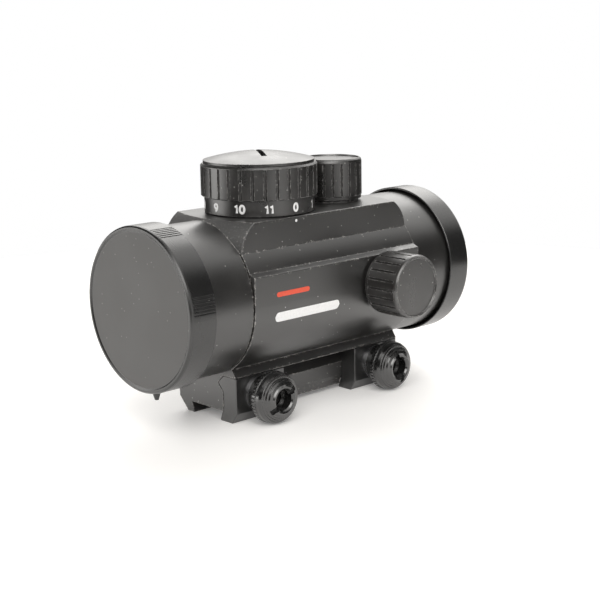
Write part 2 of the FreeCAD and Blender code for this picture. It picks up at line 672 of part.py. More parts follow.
def inner_tube():
    """Erector tube that carries the lens and the lamp, with a ball-shaped land at its pivot."""
    edge = 0.2
    lens_room = LENS_R + FIT
    stop = LENS_X - LENS_SAG
    profile = [(INNER_BORE_R, INNER_X0), (INNER_R - edge, INNER_X0), (INNER_R, INNER_X0 + edge)]
    profile += [(INNER_R, INNER_X1 - edge), (INNER_R - edge, INNER_X1), (lens_room, INNER_X1)]
    profile += [(lens_room, stop), (INNER_BORE_R, stop)]
    land = along_x(ring(INNER_BORE_R, BORE_R, PIVOT_X - INNER_LAND_HALF, PIVOT_X + INNER_LAND_HALF))
    land = land.common(Part.makeSphere(PIVOT_LAND_R, V(PIVOT_X, 0, AXIS_Z)))
    return along_x(turned(profile)).fuse(land)


def objective_lens():
    """Meniscus lens, 30 mm across, that throws the dot back to the eye."""
    blank = along_x(rod(LENS_R, LENS_X - LENS_T, LENS_X + 2 * LENS_T))
    front = Part.makeSphere(LENS_CURVE_R, V(LENS_X + LENS_T - LENS_CURVE_R, 0, AXIS_Z))
    back = Part.makeSphere(LENS_CURVE_R, V(LENS_X - LENS_CURVE_R, 0, AXIS_Z))
    return blank.common(front).cut(back)


def lens_ring():
    return along_x(ring(LENS_RING_R, LENS_R + FIT, LENS_RING_X, INNER_X1 - 0.1))


def led_housing():
    """Small block on the inner tube's wall that aims the lamp at the lens."""
    length, width, height = LED_BLOCK
    block = Part.makeBox(length, width, height, V(LED_BLOCK_X, -width / 2, LED_BLOCK_Z))
    block = block.common(along_x(rod(INNER_BORE_R, -FAR, FAR)))
    return block.cut(Part.makeCylinder(LED_HOLE_R, LED_L + EDGE, V(LED_X, 0, LED_Z), V(1, 0, 0)))


def led():
    body = Part.makeCylinder(LED_R, LED_L, V(LED_X, 0, LED_Z), V(1, 0, 0))
    return body.fuse(Part.makeSphere(LED_R, V(LED_X + LED_L, 0, LED_Z)))


def rear_window():
    return along_x(rod(BORE_R - 0.1, WINDOW_X0, WINDOW_X1))


# ---------------------------------------------------------------- lens caps

def lens_cap():
    """Push-on cap about +Z, its face outward, with groups of grip grooves."""
    face = CAP_END - CAP_DISH
    mouth = CAP_SKIRT_END + CAP_MOUTH_DEEP
    inside = TUBE_HALF + CAP_SLACK
    profile = [(0, face), (CAP_FACE_R, face), (CAP_RIM_R, CAP_END), (CAP_R - 0.45, CAP_END)]
    profile += [(CAP_R - 0.1, CAP_END - 0.35), (CAP_R, CAP_END - CAP_RIM_ROUND)]
    profile += [(CAP_R, CAP_SKIRT_END + CAP_LIP_EDGE), (CAP_R - CAP_LIP_EDGE, CAP_SKIRT_END)]
    profile += [(CAP_MOUTH_R, CAP_SKIRT_END), (CAP_MOUTH_R, mouth - CAP_MOUTH_CONE), (CAP_BORE_R, mouth)]
    profile += [(CAP_BORE_R, inside), (0, inside)]
    cap = turned(profile)
    cutter = groove_cutter(CAP_R, GRIP_D, GRIP_W, CAP_SKIRT_END - 1, CAP_END - CAP_RIM_ROUND - 0.1)
    span = GRIP_PITCH * (GRIP_GROOVES - 1)
    for centre in GRIP_GROUPS:
        cap = cap.cut(around(cutter, GRIP_GROOVES, centre - span / 2, GRIP_PITCH))
    return cap


def rear_lens_cap():
    """The rear cap keeps a small pull nib at the bottom of its skirt."""
    cap = lens_cap()
    cap.rotate(V(0, 0, 0), V(0, 0, 1), -90)
    foot = V(NIB_X, 0, AXIS_Z - CAP_R + NIB_SUNK)
    return along_x(cap, -1).fuse(Part.makeCone(NIB_TOP_R, NIB_TIP_R, NIB_L, foot, V(0, 0, -1)))


def front_lens_cap():
    """The front cap is pushed on a quarter turn round, so its grips face up and away."""
    return along_x(lens_cap())


def single_nodes():
    """Every node that is made once."""
    return {
        "main_body": main_body(),
        "rear_bezel": rear_bezel(),
        "rear_window": rear_window(),
        "front_bezel": front_bezel(),
        "pivot_seat": pivot_seat(),
        "bias_spring": bias_spring(),
        "dial_hub": dial_hub(),
        "hub_screws": hub_screws(),
        "switch_board": switch_board(),
        "dial_retaining_screw": dial_retaining_screw(),
        "dial_knob": dial_knob(),
        "dial_wiper": dial_wiper(),
        "battery_contact": battery_contact(),
        "battery": battery(),
        "battery_cap": battery_cap(),
        "battery_cap_seal": battery_cap_seal(),
        "clamp_studs": clamp_studs(),
        "pivot_ring": pivot_ring(),
        "inner_tube": inner_tube(),
        "objective_lens": objective_lens(),
        "lens_ring": lens_ring(),
        "led_housing": led_housing(),
        "led": led(),
        "rear_lens_cap": rear_lens_cap(),
        "front_lens_cap": front_lens_cap(),
    }


def turret_nodes(name, seat, place):
    return {
        name + "_collar": place(turret_collar(seat)),
        name + "_screw": place(turret_screw(seat)),
        name + "_plunger": place(turret_plunger(seat)),
        name + "_cap": place(turret_cap(seat)),
        name + "_cap_seal": place(turret_seal(seat)),
    }


def clamp_nodes(name, side, slot_angle):
    x0, x1 = sorted((side * JAW_IN_X, side * JAW_OUT_X))
    return {
        name + "_jaw": clamp_jaw(x0, x1),
        name + "_washer": clamp_washer(side * CLAMP_X),
        name + "_nut": clamp_nut(side * CLAMP_X, slot_angle),
    }


def build():
    nodes = single_nodes()
    nodes.update(turret_nodes("elevation", TOP_SEAT, on_top))
    nodes.update(turret_nodes("windage", SIDE_SEAT, on_side))
    nodes.update(clamp_nodes("rear", -1, REAR_SLOT_ANGLE))
    nodes.update(clamp_nodes("front", 1, FRONT_SLOT_ANGLE))
    return nodes


os.makedirs("parts", exist_ok=True)
for node, shape in build().items():
    shape.exportStep("parts/" + node + ".step")
    print(node, "solids", len(shape.Solids), "valid", shape.isValid(), "volume", round(shape.Volume, 1))
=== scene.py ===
import json
import math

import bmesh
import bpy
from mathutils import Matrix, Vector


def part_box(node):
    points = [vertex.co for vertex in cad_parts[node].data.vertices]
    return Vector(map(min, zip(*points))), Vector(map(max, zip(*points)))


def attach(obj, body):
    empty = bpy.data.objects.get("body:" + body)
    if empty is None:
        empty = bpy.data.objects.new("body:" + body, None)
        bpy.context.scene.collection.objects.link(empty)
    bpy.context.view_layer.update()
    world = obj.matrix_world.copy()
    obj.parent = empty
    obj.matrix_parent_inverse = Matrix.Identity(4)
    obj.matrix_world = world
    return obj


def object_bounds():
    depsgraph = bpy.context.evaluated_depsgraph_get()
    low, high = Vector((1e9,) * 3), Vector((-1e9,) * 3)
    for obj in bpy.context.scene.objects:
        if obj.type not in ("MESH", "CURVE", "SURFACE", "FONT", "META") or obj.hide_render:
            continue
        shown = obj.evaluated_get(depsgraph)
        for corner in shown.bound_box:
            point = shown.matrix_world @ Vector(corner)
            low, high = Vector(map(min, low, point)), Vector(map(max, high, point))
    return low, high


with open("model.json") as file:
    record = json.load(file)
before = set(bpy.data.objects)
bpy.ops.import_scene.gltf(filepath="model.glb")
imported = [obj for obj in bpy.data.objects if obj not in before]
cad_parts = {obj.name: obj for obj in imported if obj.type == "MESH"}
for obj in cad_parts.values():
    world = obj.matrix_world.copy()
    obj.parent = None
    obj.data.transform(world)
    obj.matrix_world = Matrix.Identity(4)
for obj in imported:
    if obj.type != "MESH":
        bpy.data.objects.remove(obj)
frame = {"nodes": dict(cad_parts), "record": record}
CAD_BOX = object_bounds()
NODES = frame["nodes"]

# Looks of a 1x30 red dot sight: black casting, turned knobs, moulded lens caps, glossy clamp nuts.
# Metres; +X towards the objective, +Z up, and the user's right is -Y.

MM = 0.001


def middle(node):
    """Middle of a CAD node's box."""
    low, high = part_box(node)
    return (low + high) / 2


def half_size(node):
    """Half the sides of a CAD node's box."""
    low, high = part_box(node)
    return (high - low) / 2


AXIS_Z = middle("rear_bezel").z                 # optical axis
SKIN_R = half_size("main_body").y               # casting round the tube
BLOCK_FOOT_Z = 40.0 * MM                        # the turret block's ends are above and within these
BLOCK_END_X = 31.8 * MM
DIAL_X = middle("dial_knob").x
NUMBER_RING_R = 13.9 * MM
NUMBER_RING_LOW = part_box("dial_knob")[0].z
NUMBER_HEIGHT = 2.0 * MM                        # of the numbers' middles above the ring's foot
CAP_FACE_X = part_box("front_lens_cap")[1].x
CAP_FACE_R = 18.6 * MM                          # the matt face ends in the rounded rim here


# ---------------------------------------------------------------- camera, stage and light

CAMERA_AZIMUTH = math.radians(-43.310)
CAMERA_ELEVATION = math.radians(12.175)
CAMERA_ROLL = math.radians(0.939)
CAMERA_LENS = 79.17
CAMERA_PLACE = Vector((-229.3, -247.4, 95.2)) * MM

FLOOR_R = 0.24
FLOOR_SIDES = 96
FLOOR_GLOW = 0.13                               # keeps the table's shadows light, as in a light tent
WORLD_TINT = (1.0, 0.985, 0.96, 1.0)
WORLD_DIM = 0.03
SOFT_LIGHTS = (                                 # azimuth from +X and elevation in degrees, strength
    (225, 40, 4.5),
    (45, 40, 3.0),
    (135, 10, 3.0),
    (0, 40, 1.5),
    (270, 70, 1.5),
    (270, 10, 1.0),
    (45, 10, 0.75),
)
LIGHT_SPREAD = math.radians(34)


def make_camera():
    """Camera behind the sight, on its right and a little above, rolled slightly."""
    a, e, roll = CAMERA_AZIMUTH, CAMERA_ELEVATION, CAMERA_ROLL
    back = Vector((math.sin(a) * math.cos(e), -math.cos(a) * math.cos(e), math.sin(e)))
    right = Vector((math.cos(a), math.sin(a), 0.0))
    up = back.cross(right)
    side = math.cos(roll) * right - math.sin(roll) * up
    top = math.sin(roll) * right + math.cos(roll) * up
    data = bpy.data.cameras.new("camera")
    data.lens = CAMERA_LENS
    camera = bpy.data.objects.new("camera", data)
    turned = Matrix((side, top, back)).transposed().to_4x4()
    camera.matrix_world = Matrix.Translation(CAMERA_PLACE) @ turned
    bpy.context.scene.collection.objects.link(camera)
    bpy.context.scene.camera = camera


def make_floor():
    """Round table top, small enough that the sight's upright sides reflect the dim room beyond it."""
    mesh = bpy.data.meshes.new("floor")
    edge = []
    for i in range(FLOOR_SIDES):
        turn = 2 * math.pi * i / FLOOR_SIDES
        edge.append((FLOOR_R * math.cos(turn), FLOOR_R * math.sin(turn), CAD_BOX[0].z))
    mesh.from_pydata(edge, [], [list(range(FLOOR_SIDES))])
    floor = bpy.data.objects.new("floor", mesh)
    mesh.materials.append(floor_material())
    bpy.context.scene.collection.objects.link(floor)


def soft_light(tree, direction, azimuth, elevation, strength):
    """Strength of one large round studio light, fading towards its edge."""
    a, e = math.radians(azimuth), math.radians(elevation)
    facing = tree.nodes.new("ShaderNodeVectorMath")
    facing.operation = "DOT_PRODUCT"
    facing.inputs[1].default_value = (math.cos(e) * math.cos(a), math.cos(e) * math.sin(a), math.sin(e))
    tree.links.new(direction, facing.inputs[0])
    glow = tree.nodes.new("ShaderNodeMapRange")
    glow.interpolation_type = "SMOOTHSTEP"
    limits = {"From Min": math.cos(LIGHT_SPREAD), "From Max": 1.0, "To Min": 0.0, "To Max": strength}
    for socket, value in limits.items():
        glow.inputs[socket].default_value = value
    tree.links.new(facing.outputs["Value"], glow.inputs["Value"])
    return glow.outputs["Result"]


def make_world():
    """White for the camera; for the object a dim room with large soft lights."""
    world = bpy.data.worlds.new("studio")
    bpy.context.scene.world = world
    world.use_nodes = True
    tree = world.node_tree
    background = tree.nodes["Background"]
    direction = tree.nodes.new("ShaderNodeTexCoord").outputs["Generated"]
    total = None                                # the first light adds to the dim room, the rest to it
    for light in SOFT_LIGHTS:
        add = tree.nodes.new("ShaderNodeMath")
        add.operation = "ADD"
        add.inputs[0].default_value = WORLD_DIM
        if total:
            tree.links.new(total, add.inputs[0])
        tree.links.new(soft_light(tree, direction, *light), add.inputs[1])
        total = add.outputs[0]
    seen = tree.nodes.new("ShaderNodeLightPath").outputs["Is Camera Ray"]
    pick = tree.nodes.new("ShaderNodeMix")
    tree.links.new(seen, pick.inputs[0])
    tree.links.new(total, pick.inputs[2])
    pick.inputs[3].default_value = 1.0          # Mix node inputs: 2 and 3 numbers, 6 and 7 colours
    tree.links.new(pick.outputs[0], background.inputs["Strength"])
    tint = tree.nodes.new("ShaderNodeMix")
    tint.data_type = "RGBA"
    tree.links.new(seen, tint.inputs[0])
    tint.inputs[6].default_value = WORLD_TINT
    tint.inputs[7].default_value = (1.0, 1.0, 1.0, 1.0)
    tree.links.new(tint.outputs[2], background.inputs["Color"])


# ---------------------------------------------------------------- material helpers

BEVEL_SAMPLES = 6
PATCH_DETAIL = 3.0                              # of the noise that varies colour, gloss, worn and painted-highlight edges, and flecks
WORN_AND_LIT_EDGE = (0.04, 0.3)                         # sharpness at which wear and the painted edge highlight set in and are full
EASILY_WORN_AND_LIT_EDGE = (0.015, 0.16)
FLECKED_EDGE = (0.002, 0.02)
EDGE_FLECK_CELL = 0.7 * MM
EDGE_FLECK_ROUGHNESS = 0.65
EDGE_FLECK_RANGE = (0.56, 0.62)                       # noise from which a fleck starts and is full


class Finish:
    """One procedural material and short ways to add its nodes."""

    def __init__(self, name):
        self.material = bpy.data.materials.new(name)
        self.material.use_nodes = True
        self.tree = self.material.node_tree
        self.shader = self.tree.nodes["Principled BSDF"]
        self.place = self.add("TexCoord").outputs["Object"]

    def feed(self, socket, value):
        """Link another node's output to a socket, or set a constant on it."""
        if isinstance(value, bpy.types.NodeSocket):
            self.tree.links.new(value, socket)
        else:
            socket.default_value = value

    def add(self, kind, inputs=None, **settings):
        """Shader node of the given kind, its inputs by name or number."""
        node = self.tree.nodes.new("ShaderNode" + kind)
        for key, value in settings.items():
            setattr(node, key, value)
        for key, value in (inputs or {}).items():
            self.feed(node.inputs[key], value)
        return node

    def set(self, **values):
        """Principled sockets by name, with _ for a space."""
        for key, value in values.items():
            self.feed(self.shader.inputs[key.replace("_", " ")], value)

    def math(self, operation, first, second=0.0):
        """Result of a math node."""
        return self.add("Math", {0: first, 1: second}, operation=operation).outputs[0]

    def noise(self, cell, detail=2.0, roughness=0.5):
        """Smooth noise, about 0.5 on average, with cells of the given size."""
        inputs = {"Vector": self.place, "Scale": 1 / cell, "Detail": detail, "Roughness": roughness}
        return self.add("TexNoise", inputs).outputs["Fac"]

    def patches(self, cell):
        """Uneven noise with cells of the given size."""
        return self.noise(cell, PATCH_DETAIL)

    def ramp(self, value, low, high, out_low=0.0, out_high=1.0):
        """Smooth step from out_low to out_high as value goes from low to high."""
        limits = {"From Min": low, "From Max": high, "To Min": out_low, "To Max": out_high}
        return self.add("MapRange", {"Value": value, **limits}, interpolation_type="SMOOTHSTEP").outputs[0]

    def blend(self, share, first, second):
        """Colour between first and second."""
        node = self.add("Mix", {0: share, 6: first, 7: second}, data_type="RGBA")
        return node.outputs[2]

    def between(self, share, first, second):
        """Number between first and second."""
        return self.add("Mix", {0: share, 2: first, 3: second}).outputs[0]

    def axes(self):
        """X, Y and Z of the place on the object."""
        split = self.add("SeparateXYZ", {0: self.place})
        return split.outputs["X"], split.outputs["Y"], split.outputs["Z"]

    def specks(self, cell, size, share):
        """Dust: round dots of about the given size in a share of the cells."""
        cells = self.add("TexVoronoi", {"Vector": self.place, "Scale": 1 / cell})
        reach = size / cell
        dot = self.ramp(cells.outputs["Distance"], reach * 0.6, reach, 1.0, 0.0)
        chance = self.add("SeparateColor", {0: cells.outputs["Color"]}).outputs[0]
        chosen = self.math("LESS_THAN", chance, share)
        return self.math("MULTIPLY", dot, chosen)

    def edges(self, radius, low, high):
        """1 along sharp edges, 0 on flat and gently curved faces."""
        rounded = self.add("Bevel", {"Radius": radius}, samples=BEVEL_SAMPLES).outputs[0]
        true = self.add("NewGeometry").outputs["Normal"]
        same = self.add("VectorMath", {0: rounded, 1: true}, operation="DOT_PRODUCT").outputs["Value"]
        return self.ramp(self.math("SUBTRACT", 1.0, same), low, high)

    def rub(self, tone, colour, reach, cell, patch=(0.45, 0.65), edge=WORN_AND_LIT_EDGE, share=0.7):
        """Light colour along sharp edges, in patches: partly finish worn off, partly a painted edge
        highlight.
        """
        worn_and_lit = self.math("MULTIPLY", self.edges(reach, *edge), self.ramp(self.patches(cell), *patch))
        return self.blend(self.math("MULTIPLY", worn_and_lit, share), tone, colour)

    def chip(self, tone, colour, reach, share):
        """Small flecks of another colour, scattered near sharp edges."""
        near = self.edges(reach, *FLECKED_EDGE)
        spots = self.ramp(self.noise(EDGE_FLECK_CELL, PATCH_DETAIL, EDGE_FLECK_ROUGHNESS), *EDGE_FLECK_RANGE)
        return self.blend(self.math("MULTIPLY", self.math("MULTIPLY", near, spots), share), tone, colour)

    def dust(self, tone, colour, cell, size, chance, share):
        """Light dots of dust over a finish."""
        return self.blend(self.math("MULTIPLY", self.specks(cell, size, chance), share), tone, colour)

    def gloss(self, patch, low, high):
        """Roughness between low and high, varying in patches."""
        return self.ramp(patch, 0.3, 0.7, low, high)

    def bump(self, height, distance, strength=1.0, edge_radius=None):
        """Normal of a bumpy surface, with its sharp edges rounded if edge_radius is given."""
        inputs = {"Height": height, "Distance": distance, "Strength": strength}
        if edge_radius:
            rounded = self.add("Bevel", {"Radius": edge_radius}, samples=BEVEL_SAMPLES)
            inputs["Normal"] = rounded.outputs[0]
        return self.add("Bump", inputs).outputs[0]

    def cast_ends(self):
        """1 on the turret block's sloping ends, which were left as cast."""
        x, y, z = self.axes()
        normal = self.add("SeparateXYZ", {0: self.add("NewGeometry").outputs["Normal"]})
        fade = 0.2 * MM
        sloping = self.ramp(self.math("ABSOLUTE", normal.outputs["X"]), 0.35, 0.5)
        upper = self.ramp(z, BLOCK_FOOT_Z - fade, BLOCK_FOOT_Z + fade)
        inner = self.ramp(self.math("ABSOLUTE", x), BLOCK_END_X, BLOCK_END_X + fade, 1.0, 0.0)
        return self.math("MULTIPLY", self.math("MULTIPLY", sloping, upper), inner)

    def radius_from(self, first, second, centre):
        """Distance from an axis through centre, across the two given coordinates."""
        a = self.math("SUBTRACT", first, centre[0])
        b = self.math("SUBTRACT", second, centre[1])
        squares = self.math("ADD", self.math("MULTIPLY", a, a), self.math("MULTIPLY", b, b))
        return self.math("SQRT", squares)


def grey(value, warm=0.0):
    """Grey colour, a little towards orange where warm is above 0."""
    return (value * (1 + warm), value, value * (1 - warm), 1.0)


# ---------------------------------------------------------------- materials

ENAMEL = {"Specular_IOR_Level": 1.0, "IOR": 1.6}
CAP_PLASTIC_SPECULAR = 0.9
GLASS_IOR = 1.52
DULLED_METAL = 0.75                             # colour of the duller patches, as a share of the rest
DULLED_PLASTIC = 0.8


def floor_material():
    """Pale, slightly uneven table top."""
    f = Finish("pale_table")
    f.set(Base_Color=f.blend(f.patches(90 * MM), grey(0.9, 0.01), grey(0.93, 0.01)), Roughness=0.55)
    f.set(Emission_Color=grey(1.0, 0.01), Emission_Strength=FLOOR_GLOW)
    f.set(Normal=f.bump(f.noise(1.5 * MM), 0.05 * MM, 0.2))
    return f.material


def body_black():
    """Satin black paint over a fine casting, with dust, light flecks near the edges, and rubbed edges that
    are partly a painted edge highlight.
    """
    f = Finish("body_black")
    patch = f.patches(14 * MM)
    tone = f.blend(patch, grey(0.008), grey(0.013, 0.08))
    # light along sharp edges: partly rubbed paint, partly a painted edge highlight
    tone = f.rub(tone, grey(0.38, 0.04), 0.26 * MM, 1.1 * MM, (0.42, 0.58), EASILY_WORN_AND_LIT_EDGE, share=0.9)
    # small light flecks scattered near sharp edges
    tone = f.chip(tone, grey(0.4, 0.05), reach=0.8 * MM, share=0.65)
    tone = f.dust(tone, grey(0.45, 0.03), cell=1.2 * MM, size=0.18 * MM, chance=0.15, share=0.75)
    cast = f.cast_ends()
    fleck = f.math("MULTIPLY", cast, f.ramp(f.noise(0.5 * MM, PATCH_DETAIL, 0.7), 0.56, 0.7))
    tone = f.blend(f.math("MULTIPLY", fleck, 0.6), tone, grey(0.12, 0.02))
    fine = f.noise(0.16 * MM, roughness=0.6)
    coarse = f.math("MULTIPLY", f.noise(0.45 * MM, PATCH_DETAIL, 0.7), 5.0)
    f.set(Base_Color=tone, Roughness=f.between(cast, f.gloss(patch, 0.30, 0.38), 0.62), **ENAMEL)
    f.set(Normal=f.bump(f.between(cast, fine, coarse), 0.012 * MM, 0.7, edge_radius=0.18 * MM))
    return f.material


def knob_black():
    """Black anodised knobs, a little rubbed along their ribs, the light edges partly a painted edge
    highlight.
    """
    f = Finish("knob_black")
    patch = f.patches(6 * MM)
    tone = f.blend(patch, grey(0.008), grey(0.013, 0.12))
    # light along sharp edges: partly rubbed paint, partly a painted edge highlight
    tone = f.rub(tone, grey(0.45, 0.02), 0.18 * MM, 0.9 * MM, (0.44, 0.58), EASILY_WORN_AND_LIT_EDGE, share=0.9)
    # small light flecks scattered near sharp edges
    tone = f.chip(tone, grey(0.4, 0.03), reach=0.3 * MM, share=0.45)
    tone = f.dust(tone, grey(0.45, 0.03), cell=1.1 * MM, size=0.17 * MM, chance=0.14, share=0.8)
    f.set(Base_Color=tone, Roughness=f.gloss(patch, 0.27, 0.35), **ENAMEL)
    f.set(Normal=f.bump(f.noise(0.12 * MM, roughness=0.6), 0.008 * MM, 0.6, edge_radius=0.12 * MM))
    return f.material


def cap_plastic():
    """Moulded caps: matt face, glossy skirt."""
    f = Finish("cap_plastic")
    x, y, z = f.axes()
    radius = f.radius_from(y, z, (0.0, AXIS_Z))
    end = f.math("GREATER_THAN", f.math("ABSOLUTE", x), CAP_FACE_X - 0.6 * MM)
    face = f.math("MULTIPLY", end, f.ramp(radius, CAP_FACE_R, CAP_FACE_R + 0.2 * MM, 1.0, 0.0))
    patch = f.patches(11 * MM)
    tone = f.blend(face, grey(0.011), f.blend(patch, grey(0.040, 0.02), grey(0.050, 0.035)))
    tone = f.rub(tone, grey(0.2), 0.1 * MM, 1.4 * MM, share=0.5)
    tone = f.dust(tone, grey(0.3, 0.02), cell=1.8 * MM, size=0.18 * MM, chance=0.08, share=0.5)
    rough = f.math("ADD", f.math("MULTIPLY", face, 0.33), f.gloss(patch, 0.22, 0.28))
    f.set(Base_Color=tone, Roughness=rough, Specular_IOR_Level=CAP_PLASTIC_SPECULAR)
    f.set(Normal=f.bump(f.noise(0.15 * MM, roughness=0.6), 0.01 * MM, 0.5, edge_radius=0.15 * MM))
    return f.material


def nut_black():
    """Glossy black enamel over turned rings."""
    f = Finish("nut_black")
    patch = f.patches(4 * MM)
    tone = f.blend(patch, grey(0.006), grey(0.011))
    tone = f.rub(tone, grey(0.3), 0.12 * MM, 0.8 * MM, patch=(0.5, 0.66))
    f.set(Base_Color=tone, Roughness=f.gloss(patch, 0.12, 0.2), **ENAMEL)
    f.set(Normal=f.bump(f.patches(0.5 * MM), 0.035 * MM, 0.6, edge_radius=0.1 * MM))
    return f.material


def clamp_black():
    """Satin black paint on the jaws."""
    f = Finish("clamp_black")
    patch = f.patches(7 * MM)
    tone = f.blend(patch, grey(0.007), grey(0.012, 0.03))
    tone = f.rub(tone, grey(0.22), 0.16 * MM, 1.0 * MM, patch=(0.42, 0.62))
    f.set(Base_Color=tone, Roughness=f.gloss(patch, 0.27, 0.36), **ENAMEL)
    f.set(Normal=f.bump(f.noise(0.18 * MM, roughness=0.6), 0.014 * MM, 0.7, edge_radius=0.14 * MM))
    return f.material


def shade(colour, share):
    """Darker version of a colour."""
    return tuple(c * share for c in colour[:3]) + (1.0,)


def plain_metal(name, colour, roughness):
    """Turned or plated metal with fine tool marks."""
    f = Finish(name)
    patch = f.patches(3 * MM)
    f.set(Base_Color=f.blend(patch, shade(colour, DULLED_METAL), colour), Metallic=1.0)
    f.set(Roughness=f.gloss(patch, roughness * 0.8, roughness * 1.2))
    f.set(Normal=f.bump(f.noise(0.1 * MM), 0.006 * MM, 0.6, edge_radius=0.08 * MM))
    return f.material


def plain_plastic(name, colour, roughness):
    """Moulded plastic, rubber or board with slight mottling."""
    f = Finish(name)
    patch = f.patches(5 * MM)
    f.set(Base_Color=f.blend(patch, shade(colour, DULLED_PLASTIC), colour))
    f.set(Roughness=f.gloss(patch, roughness * 0.85, roughness * 1.1))
    f.set(Normal=f.bump(f.noise(0.14 * MM), 0.01 * MM, 0.5, edge_radius=0.08 * MM))
    return f.material


def coated_glass(name, colour):
    """Clear glass with a tinted coating and faint streaks."""
    f = Finish(name)
    f.set(Base_Color=colour, Transmission_Weight=1.0, IOR=GLASS_IOR)
    f.set(Roughness=f.gloss(f.noise(8 * MM), 0.0, 0.03))
    return f.material


def thin_paint(name, low, high):
    """Printed paint, a little uneven between two colours."""
    f = Finish(name)
    f.set(Base_Color=f.blend(f.patches(0.5 * MM), low, high), Roughness=0.5)
    f.set(Normal=f.bump(f.noise(0.1 * MM), 0.01 * MM, 0.5))
    return f.material


def slot_materials():
    """A material for each material slot of the record."""
    return {
        "body_black": body_black(),
        "knob_black": knob_black(),
        "clamp_black": clamp_black(),
        "nut_black": nut_black(),
        "stud_black": plain_metal("stud_black", grey(0.03), 0.4),
        "cap_plastic": cap_plastic(),
        "inner_black": plain_plastic("inner_black", grey(0.012), 0.6),
        "hub_plastic": plain_plastic("hub_plastic", grey(0.02), 0.5),
        "steel": plain_metal("steel", (0.45, 0.45, 0.46, 1.0), 0.3),
        "screw_brass": plain_metal("screw_brass", (0.7, 0.52, 0.25, 1.0), 0.3),
        "contact_brass": plain_metal("contact_brass", (0.75, 0.6, 0.35, 1.0), 0.25),
        "cell_steel": plain_metal("cell_steel", (0.7, 0.7, 0.7, 1.0), 0.18),
        "board_green": plain_plastic("board_green", (0.02, 0.12, 0.05, 1.0), 0.35),
        "seal_rubber": plain_plastic("seal_rubber", grey(0.02), 0.7),
        "lens_glass": coated_glass("lens_glass", (0.95, 0.6, 0.5, 1.0)),
        "window_glass": coated_glass("window_glass", (0.9, 0.95, 1.0, 1.0)),
        "led_red": plain_plastic("led_red", (0.8, 0.03, 0.02, 1.0), 0.15),
    }


def dress_cad_nodes(finishes):
    """Give every CAD node the finish of its material slot."""
    for entry in frame["record"]["subparts"]:
        node, slot = NODES[entry["node"]], entry["material_slot"]
        node.data.materials.clear()
        node.data.materials.append(finishes[slot])


# ---------------------------------------------------------------- paint

DIGIT_HEIGHT = 1.85 * MM         # of the strokes' centre lines
DIGIT_WIDTH = 0.62               # this and the gap are shares of the height
DIGIT_GAP = 0.42
DIGIT_WEIGHT = 0.6 * MM
DIGIT_TURN = math.radians(-2)    # the 0 is painted a little off the index
DIGIT_STEP = math.radians(30)
ARC_STEP = 20                    # degrees between points on a digit's curves
JOINED = 0.04                    # ends of a stroke that are nearer than this meet
PAINT = 0.03 * MM
NUMBERS = range(12)
DOT_R = 0.36 * MM
DOT_RINGS = 4
DOT_SIDES = 24
DOT_PLACE = Vector((-10.81, -14.76, 46.22)) * MM
BAR_COLUMNS = 60
BAR_ROWS = 8
BAR_TIP = 1e-6                   # least half height, at the ends' tips
SHORT_BAR = ((-21.9 * MM, -11.0 * MM), (29.4 * MM, 30.6 * MM))      # from and to, in X and in Z
LONG_BAR = ((-22.3 * MM, -0.5 * MM), (23.2 * MM, 25.6 * MM))


def new_piece(name, mesh, body, finish):
    """Object with one finish that rides on a body."""
    piece = bpy.data.objects.new(name, mesh)
    bpy.context.scene.collection.objects.link(piece)
    mesh.materials.clear()
    mesh.materials.append(finish)
    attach(piece, body)


def arc(middle_x, middle_y, half_x, half_y, first, last):
    """Points along an ellipse between two angles in degrees."""
    steps = math.ceil(abs(last - first) / ARC_STEP)
    points = []
    for i in range(steps + 1):
        turn = math.radians(first + (last - first) * i / steps)
        points.append((middle_x + half_x * math.cos(turn), middle_y + half_y * math.sin(turn)))
    return points


def digit_strokes(digit):
    """Centre lines of a digit that is 1 tall and DIGIT_WIDTH wide."""
    w = DIGIT_WIDTH
    m = w / 2
    shapes = {
        "0": [arc(m, 0.5, m, 0.5, 0, 360)],
        "1": [[(0.0, 0.76), (0.26, 1.0), (0.26, 0.0)]],
        "2": [arc(m, 0.7, m, 0.3, 165, -30) + [(0.0, 0.0), (w, 0.0)]],
        "3": [arc(m, 0.76, m * 0.9, 0.24, 150, -90), arc(m, 0.27, m, 0.27, 90, -150)],
        "4": [[(w * 0.75, 0.0), (w * 0.75, 1.0), (0.0, 0.26), (w * 1.1, 0.26)]],
        "5": [[(w, 1.0), (0.06, 1.0), (0.03, 0.5)] + arc(m, 0.32, m, 0.32, 125, -150)],
        "6": [arc(m, 0.3, m, 0.3, 0, 360), arc(w, 0.3, w, 0.7, 180, 110)],
        "7": [[(0.0, 1.0), (w, 1.0), (w * 0.35, 0.0)]],
        "8": [arc(m, 0.76, m * 0.85, 0.24, 0, 360), arc(m, 0.26, m, 0.26, 0, 360)],
        "9": [arc(m, 0.7, m, 0.3, 0, 360), arc(0.0, 0.7, w, 0.7, 0, -70)],
    }
    return shapes[digit]


def add_stroke(curve, points, start):
    """One centre line of a digit as a spline, closed where its ends meet."""
    closed = math.dist(points[0], points[-1]) < JOINED
    points = points[:-1] if closed else points
    spline = curve.splines.new("POLY")
    spline.points.add(len(points) - 1)
    for point, (x, y) in zip(spline.points, points):
        point.co = ((start + x) * DIGIT_HEIGHT, y * DIGIT_HEIGHT, 0.0, 1.0)
    spline.use_cyclic_u = closed


